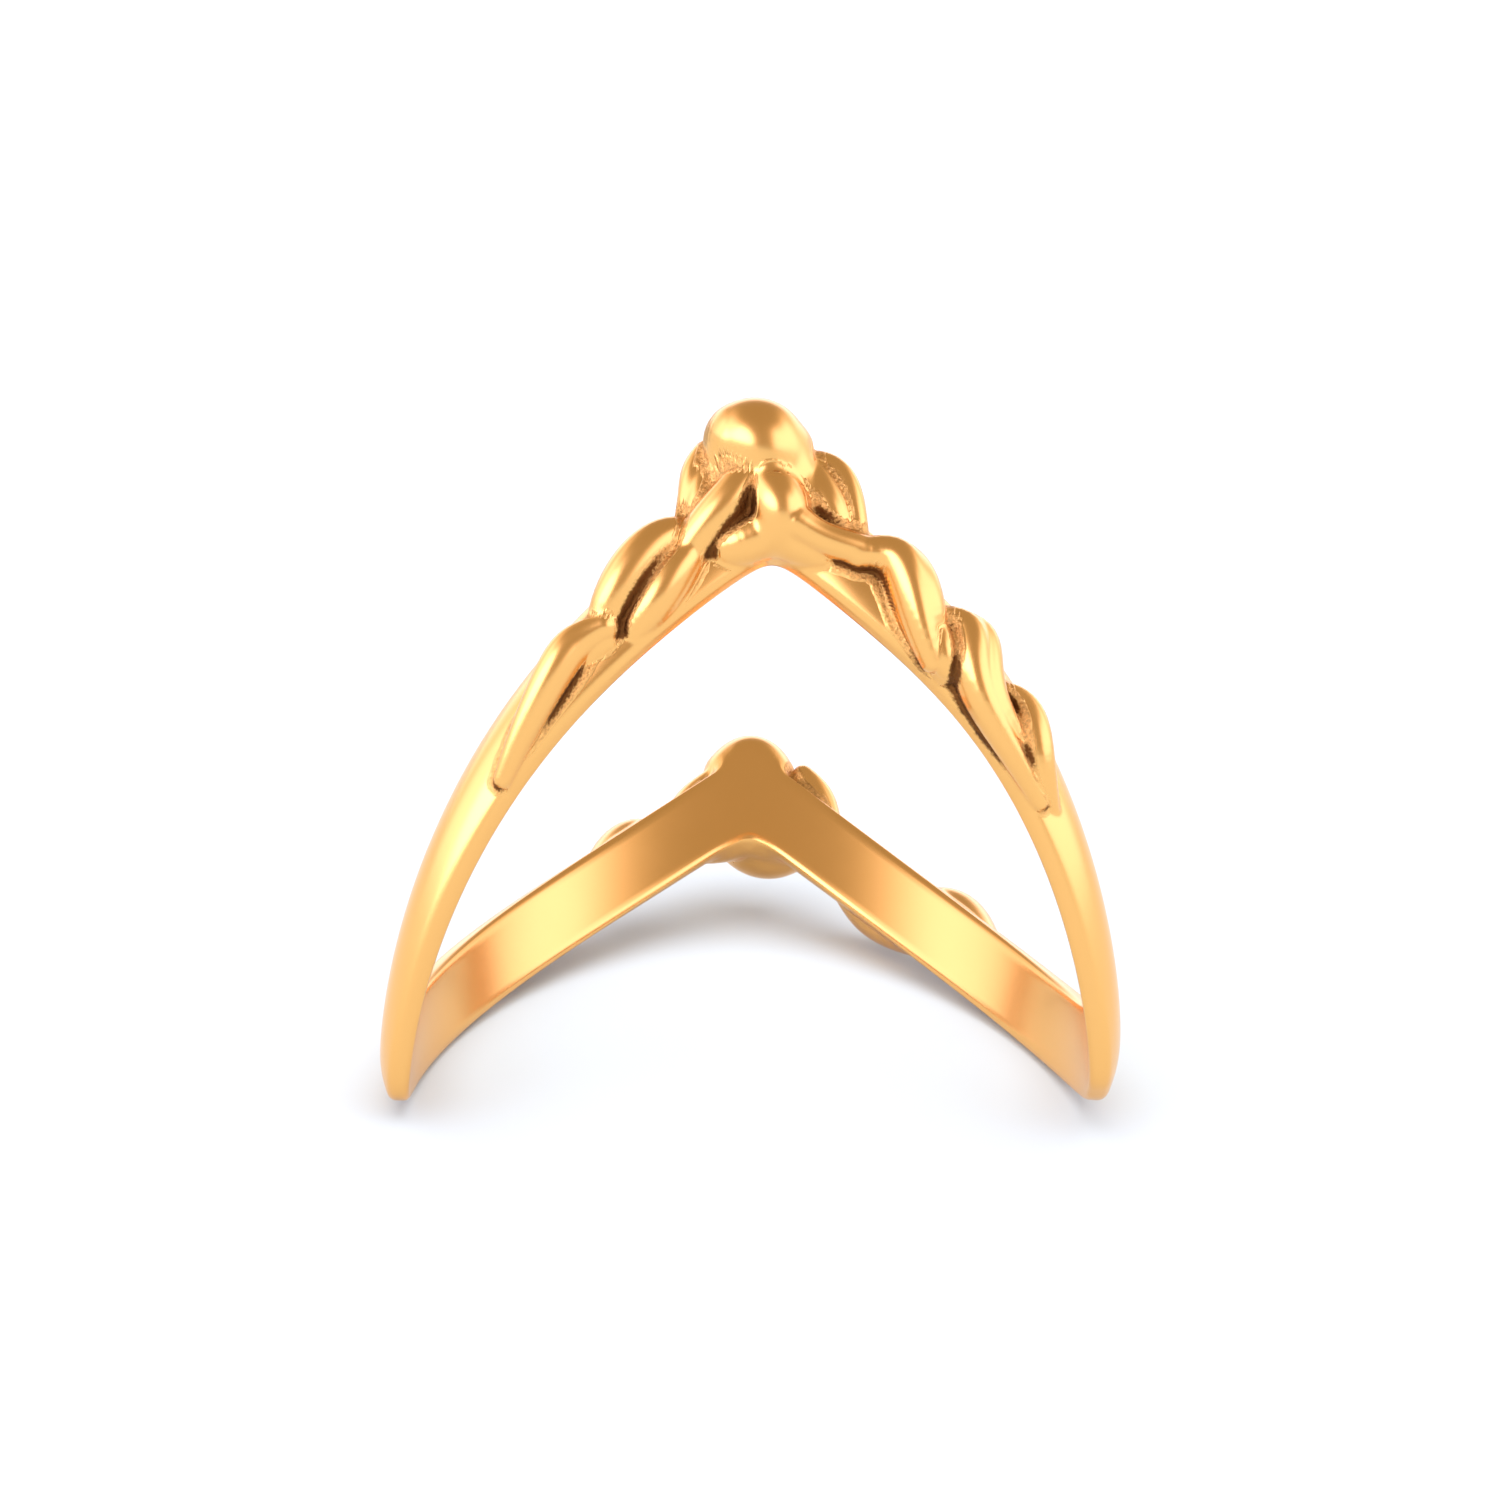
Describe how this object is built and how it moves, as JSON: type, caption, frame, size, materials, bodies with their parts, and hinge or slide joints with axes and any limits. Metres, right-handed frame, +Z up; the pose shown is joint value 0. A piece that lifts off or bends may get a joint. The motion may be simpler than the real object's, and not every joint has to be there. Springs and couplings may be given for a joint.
{
  "type": "chevron ring",
  "caption": "One-piece cast finger ring whose band rises to a point in front and behind, with molten rope strands raised on its outer face, lying tipped back as it rests.",
  "frame": {"origin": "on the table, below the middle of the box round the ring as it lies tipped back on its two rear legs", "axes": "+Z up from the table; the front point stands up at -Y, the back point lies at +Y, and the right-hand tip is at +X. The finger's axis leans back from +Z towards +Y by the resting tilt of about 45 degrees."},
  "size_m": [0.019, 0.0184, 0.0189],
  "materials": {
    "ring_gold": "polished warm yellow gold, with an as-cast grain left in the recesses of the relief"
  },
  "bodies": {
    "root": {"cast_ring": "ring_gold"}
  },
  "joints": []
}
